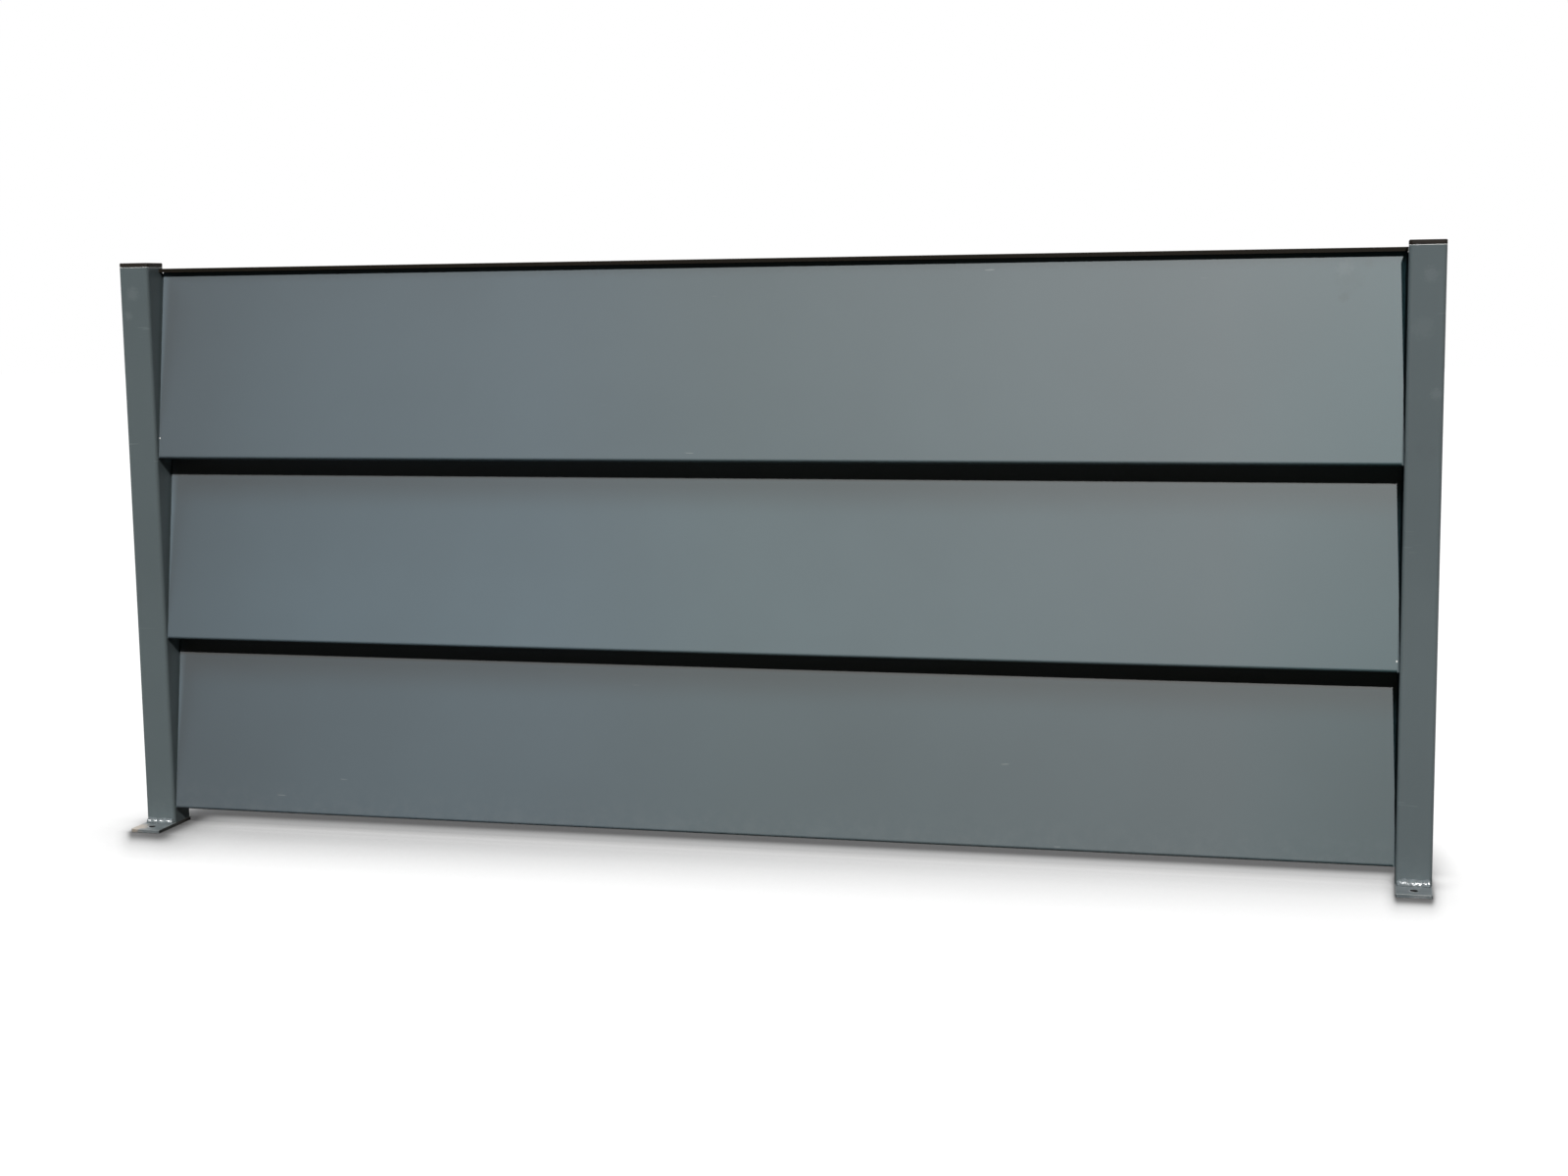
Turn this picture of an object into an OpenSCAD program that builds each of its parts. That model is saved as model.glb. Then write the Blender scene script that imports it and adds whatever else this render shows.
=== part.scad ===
// One bay of steel louvre fence: two box posts on bolt-down base plates, and three
// wide leaning sheet slats between them. X runs along the fence, the front faces -Y,
// and the origin is on the underside of the left base plate, below the post's axis.

/* [Overall] */
// Width over the outer faces of both posts
fence_w = 2000; // [1200:10:3000]
// Height from the ground to the top of the post caps
fence_h = 900; // [700:5:1300]

/* [Posts] */
// Side of the square post tube
post_size = 50; // [40:1:80]
// Wall thickness of the post tube
post_wall = 2; // [1.5:0.5:4]
// Outside radius of the post tube's corners
post_r = 5; // [4.5:0.5:8]
// Chamfer around the outer edge of the tube's top
rim_chamfer = 1; // [0.5:0.25:1.25]

/* [Base plates] */
// Thickness of the flat bar that makes a base plate
plate_t = 5; // [3:0.5:10]
// Length of the plate's tongue in front of the post
tongue_len = 50; // [40:1:90]
// Radius of the tongue's front corners
tongue_r = 3; // [1:0.5:8]
// Distance from the tongue's front edge to the bolt hole's centre
hole_inset = 22; // [16:1:30]
// Diameter of the bolt hole
hole_d = 11; // [7:0.5:14]
// Leg of the fillet weld across the front of the post's foot
weld_leg = 6; // [3:0.5:8]
// Bulge of the weld's face beyond the straight line between its toes
weld_bulge = 0.8; // [0.3:0.1:1.2]
// Angle by which the weld turns round the post's front corners
weld_wrap = 50; // [10:5:70]

/* [Post caps] */
// Thickness of the cap's head above the post
cap_h = 6; // [3:0.5:10]
// Chamfer around the top of the head
cap_chamfer = 1; // [0.5:0.25:2]
// Depth of the plug inside the tube
plug_depth = 18; // [10:1:30]
// Wall thickness of the plug
plug_wall = 2; // [1:0.5:3]
// Clearance between the plug and the tube, on each side
plug_fit = 0.2; // [0.1:0.05:0.5]

/* [Slats] */
// Thickness of the slat sheet
slat_t = 1.5; // [1:0.25:2.5]
// Distance of the slats' bottom edges behind the front of the posts
slat_setback = 1; // [0:0.5:5]
// Height of the lowest slat's bottom edge above the ground
bottom_gap = 30; // [15:1:80]
// Height by which the middle slat laps in front of the bottom one
lower_lap = 19; // [0:0.5:40]
// Height by which the top slat laps in front of the middle one
upper_lap = 7.5; // [0:0.5:40]
// Inside radius of the bend along the bottom edge
bend_r = 2.5; // [1.5:0.5:5]
// Depth of the return folded back along the bottom edge
return_depth = 20; // [12:1:30]
// Height of the hem folded down behind the top edge
hem_height = 10; // [6:1:20]
// Gap inside the hem
hem_gap = 1; // [0.5:0.25:2]

/* [Cleats] */
// Length of both legs of the folded cleat behind each slat's end
cleat_leg = 20; // [16:1:24]
// Thickness of a cleat, which also sets the slats' ends off from the posts
cleat_t = 3; // [2:0.5:4]
// Inside radius of a cleat's bend
cleat_bend_r = 1.5; // [1:0.5:3]
// Distance of the cleats inside the rear of the posts
cleat_inset = 2; // [2:0.5:4]
// Clearance of a cleat's slat leg to the slat's bend and hem
cleat_gap = 2; // [1:0.5:5]

/* [Top trim] */
// Wall thickness of the clip-on edge trim
trim_t = 1.5; // [1:0.25:2]
// Distance of the trim's front lip ahead of the top slat's face
trim_overhang = 10; // [6:0.5:14]
// Height of the trim's front and rear lips
trim_lip = 6; // [4:0.5:10]
// Depth to which the trim's inner rib grips the front of the hem
trim_rib = 4; // [3:0.5:6]
// Drop of the trim's top below the tops of the posts
trim_drop = 3; // [0:0.5:10]
// Clearance between the trim and the hem
trim_fit = 0.2; // [0.1:0.05:0.5]
// Clearance between the trim's ends and the posts
trim_end_gap = 0.3; // [0.2:0.1:2]

/* [Hidden] */
level_names = ["bottom", "middle", "top"];
side_names = ["left", "right"];
function cleat_name(level, side) = str("cleat_", level_names[level], "_", side_names[side]);

$fn = 48;
steel_color = "#5b666b";
weld_color = "#78828a";
plastic_color = "#2b261f";
cut = 1;                                        // overrun of a cutting shape past a face

post_x = [0, fence_w - post_size];              // axes of the left and right posts
post_half = post_size / 2;
post_top = fence_h - cap_h;
post_flat_half = post_half - post_r;            // half width of a post's flat face
hole_y = hole_inset - tongue_len - post_half;
inner_x = [post_half, post_x[1] - post_half];   // faces of the posts that look inward

bend_outer = bend_r + slat_t;
hem_outer = slat_t + hem_gap / 2;               // outside radius of the hem's fold
slat_y = slat_setback - post_half;
bay_len = inner_x[1] - inner_x[0];
slat_x0 = inner_x[0] + cleat_t;                 // slats fit between the cleats' post legs
slat_len = bay_len - 2 * cleat_t;
slat_top_z = post_top - trim_drop - trim_t;
slat_rise = (slat_top_z - bottom_gap + lower_lap + upper_lap) / 3;
slat_z = [
    bottom_gap,
    bottom_gap + slat_rise - lower_lap,
    bottom_gap + 2 * slat_rise - lower_lap - upper_lap
];

// The hem's centre fixes the slope: it stands as far inside the rear of the posts
// as the trim's rear lip needs, and its top is the top of the slat.
hem_y = post_half - trim_t - trim_fit - hem_outer;
hem_run = hem_y - slat_y;
hem_rise = slat_rise - hem_outer;
face_h = sqrt(hem_run ^ 2 + hem_rise ^ 2 - hem_outer ^ 2);
slat_tilt = atan2(hem_run, hem_rise) - atan2(hem_outer, face_h);

cleat_bend_outer = cleat_bend_r + cleat_t;
cleat_grip_u = bend_outer + cleat_gap;          // where a cleat's slat leg starts up the face
cleat_grip = face_h - hem_height - cleat_gap - cleat_grip_u;

trim_front_y = hem_y - hem_outer - trim_overhang;
rib_bottom_z = slat_top_z - trim_rib;
rib_rear_y = hem_y - hem_outer / cos(slat_tilt) - (trim_rib - hem_outer) * tan(slat_tilt) - trim_fit;

module rounded_square(size, r) {
    inner = size - 2 * r;
    square([size, inner], center = true);
    square([inner, size], center = true);
    for (sx = [-1, 1], sy = [-1, 1])
        translate([sx * inner / 2, sy * inner / 2]) circle(r);
}

// Extrudes an outline drawn in (depth, height) along the fence
module along_fence(x0, len) {
    translate([x0, 0, 0]) rotate([90, 0, 90]) linear_extrude(len) children();
}

// Places children in a slat's own axes: X along it, Y square to its face, Z up the face
module on_slat(level) {
    translate([0, slat_y, slat_z[level]]) rotate([-slat_tilt, 0, 0]) children();
}

// Quarter of a ring whose centre is the corner's centre of curvature
module bend(r_out, r_in) {
    translate([r_out, r_out]) intersection() {
        difference() {
            circle(r_out);
            circle(r_in);
        }
        translate([-r_out, -r_out]) square(r_out);
    }
}

// Block with the post's outline, whose top edge is chamfered all round
module chamfered_block(h, chamfer) {
    flat = 2 * post_flat_half;
    straight = h - chamfer;
    linear_extrude(straight) rounded_square(post_size, post_r);
    for (turn = [0, 90]) rotate([0, 0, turn])
        translate([0, flat / 2, 0]) rotate([90, 0, 0]) linear_extrude(flat)
            polygon([
                [-post_half, 0], [post_half, 0], [post_half, straight],
                [post_half - chamfer, h], [chamfer - post_half, h],
                [-post_half, straight]
            ]);
    for (sx = [-1, 1], sy = [-1, 1])
        translate([sx * post_flat_half, sy * post_flat_half, straight])
            cylinder(h = chamfer, r1 = post_r, r2 = post_r - chamfer);
}

module post(side) {
    color(steel_color) translate([post_x[side], 0, plate_t]) difference() {
        chamfered_block(post_top - plate_t, rim_chamfer);
        translate([0, 0, -cut]) linear_extrude(post_top - plate_t + 2 * cut)
            rounded_square(post_size - 2 * post_wall, post_r - post_wall);
    }
}

// Outline of a base plate: flush with the post behind, rounded corners in front
module plate_outline() {
    corner_y = tongue_r - tongue_len - post_half;
    translate([-post_half, corner_y]) square([post_size, post_half - corner_y]);
    translate([tongue_r - post_half, corner_y - tongue_r])
        square([post_size - 2 * tongue_r, 2 * tongue_r]);
    for (end = [-1, 1])
        translate([end * (post_half - tongue_r), corner_y]) circle(tongue_r);
}

module base_plate(side) {
    color(steel_color) translate([post_x[side], 0, 0]) difference() {
        linear_extrude(plate_t) plate_outline();
        translate([0, hole_y, -cut]) cylinder(h = plate_t + 2 * cut, d = hole_d);
    }
}

// Section of the fillet weld: both legs straight, the face a shallow arc
module weld_section() {
    mid = weld_leg / 2 + weld_bulge / sqrt(2);
    centre = (2 * mid ^ 2 - weld_leg ^ 2) / (4 * mid - 2 * weld_leg);
    intersection() {
        translate([centre, centre]) circle(norm([weld_leg - centre, centre]), $fn = 96);
        square(weld_leg);
    }
}

// The weld crosses the front of the post and turns a little way round its corners
module foot_weld(side) {
    color(weld_color) translate([post_x[side], 0, plate_t]) intersection() {
        union() {
            translate([-post_flat_half, -post_half, 0]) rotate([90, 0, 90])
                linear_extrude(2 * post_flat_half) mirror([1, 0]) weld_section();
            for (end = [-1, 1])
                translate([end * post_flat_half, -post_flat_half, 0])
                    rotate([0, 0, end < 0 ? -90 - weld_wrap : -90]) rotate_extrude(angle = weld_wrap)
                        translate([post_r, 0]) weld_section();
        }
        translate([-post_half, -post_size, 0]) cube([post_size, post_size, 2 * weld_leg]);
    }
}

module post_cap(side) {
    bore = post_size - 2 * post_wall;
    plug = bore - 2 * plug_fit;
    plug_r = max(post_r - post_wall - plug_fit, 0.5);
    color(plastic_color) translate([post_x[side], 0, post_top]) union() {
        chamfered_block(cap_h, cap_chamfer);
        translate([0, 0, -plug_depth]) linear_extrude(plug_depth + cap_h / 2) difference() {
            rounded_square(plug, plug_r);
            square(plug - 2 * plug_wall, center = true);
        }
    }
}

// Section of a slat in its own axes: face, bottom bend and return, and the top hem
module slat_section() {
    translate([0, bend_outer]) square([slat_t, face_h - bend_outer]);
    bend(bend_outer, bend_r);
    translate([bend_outer, 0]) square([return_depth - bend_outer, slat_t]);
    translate([hem_outer, face_h]) difference() {
        circle(hem_outer);
        circle(hem_gap / 2);
        translate([-2 * hem_outer, -2 * hem_outer]) square([4 * hem_outer, 2 * hem_outer]);
    }
    translate([slat_t + hem_gap, face_h - hem_height]) square([slat_t, hem_height]);
}

module slat(level) {
    color(steel_color) on_slat(level) along_fence(slat_x0, slat_len) slat_section();
}

// Mirrors a shape drawn for the left post where it stands on the right one
module facing_inward(side) {
    mirror([side, 0, 0]) children();
}

// Section of a cleat: one leg along the post, the other behind the slat
module cleat_section() {
    bend(cleat_bend_outer, cleat_bend_r);
    translate([0, cleat_bend_outer]) square([cleat_t, cleat_leg - cleat_bend_outer]);
    translate([cleat_bend_outer, 0]) square([cleat_leg - cleat_bend_outer, cleat_t]);
}

// The post leg closes the gap beside the slat's end from bottom to top, the slat leg stops
// short of the slat's bend and hem, and the rear edge is cut upright inside the post's rear.
module cleat(level, side) {
    color(steel_color) intersection() {
        on_slat(level) translate([inner_x[side], slat_t, 0]) facing_inward(side) {
            linear_extrude(face_h) intersection() {
                cleat_section();
                square([cleat_t, cleat_leg]);
            }
            translate([0, 0, cleat_grip_u]) linear_extrude(cleat_grip) cleat_section();
        }
        translate([inner_x[0], -post_half, 0])
            cube([bay_len, post_size - cleat_inset, post_top]);
    }
}

// Section of the trim in (depth, height): web, two lips and the rib that grips the hem
module trim_section() {
    depth = post_half - trim_front_y;
    translate([trim_front_y + trim_t, slat_top_z]) square([depth - trim_t, trim_t]);
    translate([trim_front_y, slat_top_z + trim_t - trim_lip])
        square([trim_t, trim_lip - trim_t]);
    translate([trim_front_y + trim_t, slat_top_z]) intersection() {
        circle(trim_t);
        translate([-trim_t, 0]) square(trim_t);
    }
    translate([post_half - trim_t, slat_top_z + trim_t - trim_lip])
        square([trim_t, trim_lip]);
    translate([rib_rear_y - trim_t, rib_bottom_z]) square([trim_t, trim_rib + trim_t / 2]);
}

module top_trim() {
    color(plastic_color)
        along_fence(inner_x[0] + trim_end_gap, bay_len - 2 * trim_end_gap) trim_section();
}

post(0);  // post_left
post(1);  // post_right
base_plate(0);  // base_plate_left
base_plate(1);  // base_plate_right
foot_weld(0);  // foot_weld_left
foot_weld(1);  // foot_weld_right
post_cap(0);  // post_cap_left
post_cap(1);  // post_cap_right
slat(0);  // slat_bottom
slat(1);  // slat_middle
slat(2);  // slat_top
top_trim();
for (level = [0:2], side = [0:1])
    cleat(level, side);
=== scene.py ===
import bpy
import bmesh
import math
import random
from mathutils import Matrix, Vector


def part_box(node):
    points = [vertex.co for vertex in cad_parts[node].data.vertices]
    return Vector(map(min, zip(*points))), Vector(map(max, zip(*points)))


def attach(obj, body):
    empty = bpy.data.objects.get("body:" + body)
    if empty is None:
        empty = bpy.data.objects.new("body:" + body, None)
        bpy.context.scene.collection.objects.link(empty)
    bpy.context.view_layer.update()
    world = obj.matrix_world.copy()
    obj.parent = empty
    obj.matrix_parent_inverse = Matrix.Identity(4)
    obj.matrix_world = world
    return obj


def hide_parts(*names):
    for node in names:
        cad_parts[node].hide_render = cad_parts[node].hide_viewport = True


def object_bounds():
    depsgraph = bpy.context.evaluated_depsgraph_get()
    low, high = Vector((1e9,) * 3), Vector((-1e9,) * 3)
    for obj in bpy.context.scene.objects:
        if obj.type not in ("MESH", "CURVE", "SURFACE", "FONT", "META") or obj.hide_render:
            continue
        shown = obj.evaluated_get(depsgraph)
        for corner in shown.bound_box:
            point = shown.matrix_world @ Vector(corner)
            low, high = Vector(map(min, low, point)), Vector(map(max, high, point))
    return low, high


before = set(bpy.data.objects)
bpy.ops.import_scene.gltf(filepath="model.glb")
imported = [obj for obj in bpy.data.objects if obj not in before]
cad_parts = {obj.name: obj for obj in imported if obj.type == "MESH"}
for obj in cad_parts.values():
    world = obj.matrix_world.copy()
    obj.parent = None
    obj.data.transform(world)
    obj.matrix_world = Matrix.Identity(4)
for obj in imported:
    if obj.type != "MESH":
        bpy.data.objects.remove(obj)        # one bay of louvre fence: posts, plates, slats, cleats, caps, trim
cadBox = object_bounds()
sides = ["left", "right"]
levels = ["bottom", "middle", "top"]
print("frame loaded:", len(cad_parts), "nodes")


# A node's inputs are {socket: value or another node's output}, and its settings are its own values.
def addNode(tree, kind, inputs=None, **settings):
    node = tree.nodes.new(kind)
    for key, value in settings.items():
        setattr(node, key, value)
    for key, value in (inputs or {}).items():
        socket = node.inputs[key]
        if isinstance(value, bpy.types.NodeSocket):
            tree.links.new(value, socket)
        else:
            socket.default_value = value
    return node


def mathNode(tree, operation, first, second=0.0):
    return addNode(tree, "ShaderNodeMath", {0: first, 1: second}, operation=operation).outputs[0]


def product(tree, first, *others):
    for other in others:
        first = mathNode(tree, "MULTIPLY", first, other)
    return first


def vectorMath(tree, operation, first, second=(0, 0, 0)):
    return addNode(tree, "ShaderNodeVectorMath", {0: first, 1: second}, operation=operation).outputs


def scaled(tree, vector, factor):
    return addNode(tree, "ShaderNodeVectorMath", {0: vector, "Scale": factor}, operation="SCALE").outputs[0]


def axisOf(tree, vector, axis):
    return addNode(tree, "ShaderNodeSeparateXYZ", {0: vector}).outputs[axis]


def surfaceNormal(tree):
    return tree.nodes.new("ShaderNodeNewGeometry").outputs["Normal"]


def mapRange(tree, value, low, high, toLow=0.0, toHigh=1.0, curve="SMOOTHSTEP"):
    return addNode(tree, "ShaderNodeMapRange", {
        "Value": value, "From Min": low, "From Max": high, "To Min": toLow, "To Max": toHigh,
    }, interpolation_type=curve).outputs["Result"]


def noiseAt(tree, vector, scale, detail=2.0, roughness=0.5):
    return addNode(tree, "ShaderNodeTexNoise", {
        "Vector": vector, "Scale": scale, "Detail": detail, "Roughness": roughness,
    }).outputs["Fac"]


def mixColour(tree, factor, first, second):
    return addNode(tree, "ShaderNodeMix", {0: factor, 6: first, 7: second}, data_type="RGBA").outputs[2]


def bumpNormal(tree, height, distance, normal):
    return addNode(tree, "ShaderNodeBump", {
        "Height": height, "Distance": distance, "Normal": normal,
    }).outputs["Normal"]


def colour(red, green, blue):
    return (red, green, blue, 1.0)


plainWhite = colour(1, 1, 1)


def clearTree(owner):
    owner.use_nodes = True
    owner.node_tree.nodes.clear()
    return owner.node_tree


def addObject(name, data):
    made = bpy.data.objects.new(name, data)
    bpy.context.scene.collection.objects.link(made)
    return made


# Each stop is (place from 0 to 1, three parts of its colour).
def colourRamp(tree, share, stops, interpolation="LINEAR"):
    node = addNode(tree, "ShaderNodeValToRGB", {"Fac": share})
    ramp = node.color_ramp
    ramp.interpolation = interpolation
    while len(ramp.elements) < len(stops):
        ramp.elements.new(0.5)
    for element, (at, parts) in zip(ramp.elements, stops):
        element.position = at
        element.color = colour(*parts)
    return node.outputs["Color"]


def toneRamp(tree, share, stops):
    return colourRamp(tree, share, [(at, (tone, tone, tone)) for at, tone in stops])


# A group's inputs are {name: (socket type, value)} and its outputs {name: socket type}.
def makeGroup(name, inputs, outputs):
    group = bpy.data.node_groups.new(name, "ShaderNodeTree")
    for label, (kind, value) in inputs.items():
        socket = group.interface.new_socket(name=label, in_out="INPUT", socket_type=kind)
        if value is not None:
            socket.default_value = value
    for label, kind in outputs.items():
        group.interface.new_socket(name=label, in_out="OUTPUT", socket_type=kind)
    return group, group.nodes.new("NodeGroupInput").outputs, group.nodes.new("NodeGroupOutput").inputs


def placeGroup(tree, group, inputs):
    return addNode(tree, "ShaderNodeGroup", inputs, node_tree=group).outputs


coatLook = {
    "peelDetail": 1.5, "peelRoughness": 0.45,
    "grainFineness": 5.0,        # times finer than the peel
    "grainDetail": 1.0,
    "toneDetail": 3.0, "toneRoughness": 0.55,
}


# Orange peel of a sprayed and baked coat, with a finer grain over it, and a slow change of tone.
def coatTexture(look):
    group, given, out = makeGroup("Coat Texture", {
        "Vector": ("NodeSocketVector", None),
        "Peel Size": ("NodeSocketFloat", 0.0022),
        "Grain": ("NodeSocketFloat", 0.35),
        "Tone Size": ("NodeSocketFloat", 0.3),
    }, {"Height": "NodeSocketFloat", "Tone": "NodeSocketFloat"})
    vector = given["Vector"]
    peelScale = mathNode(group, "DIVIDE", 1.0, given["Peel Size"])
    peel = noiseAt(group, vector, peelScale, look["peelDetail"], look["peelRoughness"])
    grainScale = mathNode(group, "MULTIPLY", peelScale, look["grainFineness"])
    grain = noiseAt(group, vector, grainScale, look["grainDetail"])
    grain = product(group, grain, given["Grain"])
    group.links.new(mathNode(group, "ADD", peel, grain), out["Height"])
    toneScale = mathNode(group, "DIVIDE", 1.0, given["Tone Size"])
    tone = noiseAt(group, vector, toneScale, look["toneDetail"], look["toneRoughness"])
    group.links.new(tone, out["Tone"])
    return group


wearLook = {
    "smudgeDetail": 3.0, "smudgeRoughness": 0.6,
    "smudgeFrom": 0.86,          # noise at which smudges start, less their cover's share
    "smudgeShare": 0.4, "smudgeFade": 0.16,
    "scuffSlant": 38,            # degrees
    "scuffStretch": 9.0,         # length over width
    "scuffFrom": 0.80, "scuffShare": 0.2, "scuffFade": 0.03,
    "clusterShare": 0.3,         # a scuff's length over the size of a cluster
    "clusterFrom": 0.52, "clusterTo": 0.66,
}


# Soft hand and dust smudges, and thin slanting scuffs in loose clusters.
def wearMarks(look):
    group, given, out = makeGroup("Wear Marks", {
        "Vector": ("NodeSocketVector", None),
        "Smudge Size": ("NodeSocketFloat", 0.12),
        "Smudge Cover": ("NodeSocketFloat", 0.4),
        "Scuff Length": ("NodeSocketFloat", 0.05),
        "Scuff Cover": ("NodeSocketFloat", 0.3),
    }, {"Smudge": "NodeSocketFloat", "Scuff": "NodeSocketFloat"})
    vector = given["Vector"]

    def limited(noise, kind, cover):
        share = mathNode(group, "MULTIPLY", given[cover], look[kind + "Share"])
        limit = mathNode(group, "SUBTRACT", look[kind + "From"], share)
        return mapRange(group, noise, limit, mathNode(group, "ADD", limit, look[kind + "Fade"]))

    smudgeScale = mathNode(group, "DIVIDE", 1.0, given["Smudge Size"])
    cloud = noiseAt(group, vector, smudgeScale, look["smudgeDetail"], look["smudgeRoughness"])
    group.links.new(limited(cloud, "smudge", "Smudge Cover"), out["Smudge"])
    turned = addNode(group, "ShaderNodeMapping", {
        "Vector": vector, "Rotation": (0.0, math.radians(look["scuffSlant"]), 0.0),
        "Scale": (1.0, 1.0, look["scuffStretch"]),
    }).outputs["Vector"]
    streak = noiseAt(group, turned, mathNode(group, "DIVIDE", 1.0, given["Scuff Length"]), detail=1.0)
    clusterScale = mathNode(group, "DIVIDE", look["clusterShare"], given["Scuff Length"])
    cluster = noiseAt(group, vector, clusterScale, detail=1.0)
    cluster = mapRange(group, cluster, look["clusterFrom"], look["clusterTo"])
    group.links.new(product(group, limited(streak, "scuff", "Scuff Cover"), cluster), out["Scuff"])
    return group


edgeLook = {
    "samples": 6,
    "flat": 0.998, "sharp": 0.86,        # agreement of the rounded and the flat normal
}


# The coat gathers and rounds off along edges: a rounded normal, and a mask of the edges, which the paints also
# use for a painted highlight.
def softEdge(look):
    group, given, out = makeGroup("Soft Edge", {
        "Radius": ("NodeSocketFloat", 0.0008),
    }, {"Normal": "NodeSocketVector", "Edge": "NodeSocketFloat"})
    rounded = addNode(group, "ShaderNodeBevel", {"Radius": given["Radius"]}, samples=look["samples"])
    rounded = rounded.outputs["Normal"]
    agreement = vectorMath(group, "DOT_PRODUCT", rounded, surfaceNormal(group))["Value"]
    group.links.new(rounded, out["Normal"])
    group.links.new(mapRange(group, agreement, look["flat"], look["sharp"]), out["Edge"])
    return group


dustLook = {
    "patchScale": 55.0, "patchDetail": 4.0, "patchRoughness": 0.65, "patchFrom": 0.35, "patchTo": 0.75,
    "upFrom": 0.5, "upTo": 0.95,         # how far a face looks up
    "thinnest": 0.75,                    # settled dust between the patches
}


# Dust that splashes up near the ground and settles on the faces there that look up.
def groundDust(look):
    group, given, out = makeGroup("Ground Dust", {
        "Vector": ("NodeSocketVector", None),
        "Reach": ("NodeSocketFloat", 0.08),
        "Cover": ("NodeSocketFloat", 0.5),
        "Settled": ("NodeSocketFloat", 0.0),
    }, {"Dust": "NodeSocketFloat"})
    fall = mapRange(group, axisOf(group, given["Vector"], "Z"), given["Reach"], 0.0)
    patches = noiseAt(group, given["Vector"], look["patchScale"], look["patchDetail"], look["patchRoughness"])
    patches = mapRange(group, patches, look["patchFrom"], look["patchTo"])
    splashed = product(group, fall, given["Cover"], patches)
    upward = mapRange(group, axisOf(group, surfaceNormal(group), "Z"), look["upFrom"], look["upTo"])
    thick = mapRange(group, patches, 0.0, 1.0, look["thinnest"], 1.0)
    settled = product(group, upward, given["Settled"], thick)
    group.links.new(mathNode(group, "MAXIMUM", splashed, settled), out["Dust"])
    return group


spotLook = {
    "raggedScale": 2.2,          # over the spot's radius
    "raggedDetail": 3.0,
    "raggedMean": 0.5,           # middle of the noise's values
    "raggedGain": 2.0,
}


# One irregular spot around a place on the surface, such as a chip or a stain.
def spotMask(look):
    group, given, out = makeGroup("Spot", {
        "Vector": ("NodeSocketVector", None),
        "Centre": ("NodeSocketVector", (0.0, 0.0, 0.0)),
        "Radius": ("NodeSocketFloat", 0.01),
        "Raggedness": ("NodeSocketFloat", 0.5),
        "Softness": ("NodeSocketFloat", 0.3),
    }, {"Mask": "NodeSocketFloat"})
    away = vectorMath(group, "DISTANCE", given["Vector"], given["Centre"])["Value"]
    share = mathNode(group, "DIVIDE", away, given["Radius"])
    raggedScale = mathNode(group, "DIVIDE", look["raggedScale"], given["Radius"])
    ragged = noiseAt(group, given["Vector"], raggedScale, look["raggedDetail"])
    ragged = mathNode(group, "SUBTRACT", ragged, look["raggedMean"])
    gain = mathNode(group, "MULTIPLY", given["Raggedness"], look["raggedGain"])
    offset = product(group, ragged, gain)
    outer = mathNode(group, "ADD", 1.0, given["Softness"])
    inner = mathNode(group, "SUBTRACT", 1.0, given["Softness"])
    group.links.new(mapRange(group, mathNode(group, "ADD", share, offset), outer, inner), out["Mask"])
    return group


coatTextureGroup = coatTexture(coatLook)
wearMarksGroup = wearMarks(wearLook)
softEdgeGroup = softEdge(edgeLook)
groundDustGroup = groundDust(dustLook)
spotGroup = spotMask(spotLook)
print("shared effects ready")


def newMaterial(name):
    material = bpy.data.materials.new(name)
    return material, clearTree(material)


def showSurface(tree, inputs):
    surface = addNode(tree, "ShaderNodeBsdfPrincipled", inputs)
    addNode(tree, "ShaderNodeOutputMaterial", {"Surface": surface.outputs[0]})


def objectPlace(tree):
    return tree.nodes.new("ShaderNodeTexCoord").outputs["Object"]


slatPaint = {
    "colour": (0.064, 0.099, 0.111),
    "toneSpread": 0.04,          # how much the colour drifts over a sheet
    "toneSpan": (0.3, 0.7),      # noise from the darkest to the lightest
    "roughness": 0.58,
    "specular": 0.5,
    "peelSize": 0.0022,
    "peelDepth": 0.00004,
    "waveScale": 2.6,            # slow waves of the thin sheet
    "waveDepth": 0.0012,
    "smudgeCover": 0.25,
    "smudgeStrength": 0.35,
    "smudgeDulls": 0.10,         # rise of the roughness
    "scuffCover": 0.10,
    "scuffStrength": 0.5,
    "dustReach": 0.10,
    "dustCover": 0.08,
    "dustSettled": 0.0,
    "dustDulls": 0.35,
    "edgeRadius": 0.0009,
    "edgeMix": 0.25,
    "edgeWearAndHighlightColour": colour(0.22, 0.25, 0.26),
    "sheenAndShadeAlong": [],             # painted sheen and shade: tone at shares of the length, left to right
    "toneUp": None,              # tones at the lower and the upper edge
    "lapShadeEdge": None,             # height of the next slat's edge, below which shade is painted
    "rim": None,
    "boltHole": None,
    "rightSideShade": None,
    "spots": [],
}
dustColour = colour(0.29, 0.305, 0.31)
smudgeColour = colour(0.085, 0.098, 0.104)
scuffColour = colour(0.22, 0.25, 0.26)

chip = {"radius": 0.0013, "raggedness": 0.35, "softness": 0.25, "cover": 0.95,
        "colour": colour(0.75, 0.75, 0.72)}
smear = {"radius": 0.016, "raggedness": 1.2, "softness": 0.8, "cover": 0.25,
         "colour": colour(0.022, 0.052, 0.056)}
rub = {"radius": 0.009, "raggedness": 0.9, "softness": 0.6, "cover": 0.35,
       "colour": colour(0.20, 0.23, 0.24)}

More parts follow.
